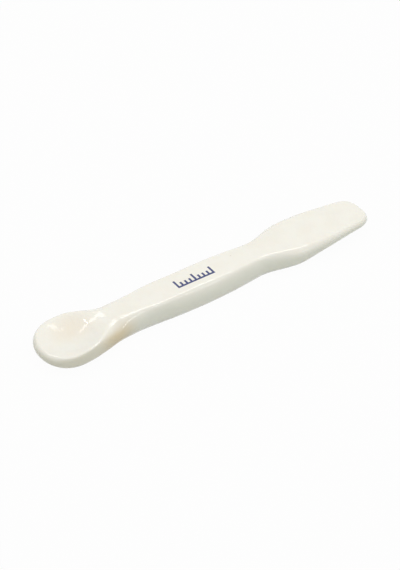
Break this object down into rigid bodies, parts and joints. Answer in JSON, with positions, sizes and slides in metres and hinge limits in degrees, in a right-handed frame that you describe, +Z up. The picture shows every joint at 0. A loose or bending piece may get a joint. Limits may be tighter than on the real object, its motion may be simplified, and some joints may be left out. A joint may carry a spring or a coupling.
{
  "type": "lab spatula",
  "caption": "Glazed porcelain lab spatula: shallow oval spoon bowl at one end of a stout handle, flat round-cornered blade at the other.",
  "frame": {"origin": "middle of the length and width, on the plane of the ground foot that the spatula rests on", "axes": "+X from the spoon bowl to the blade, +Z up out of the top face"},
  "size_m": [0.15, 0.0248, 0.0095],
  "materials": {
    "glazed_porcelain": "gloss"
  },
  "bodies": {
    "root": {"spatula": "glazed_porcelain"}
  },
  "joints": []
}
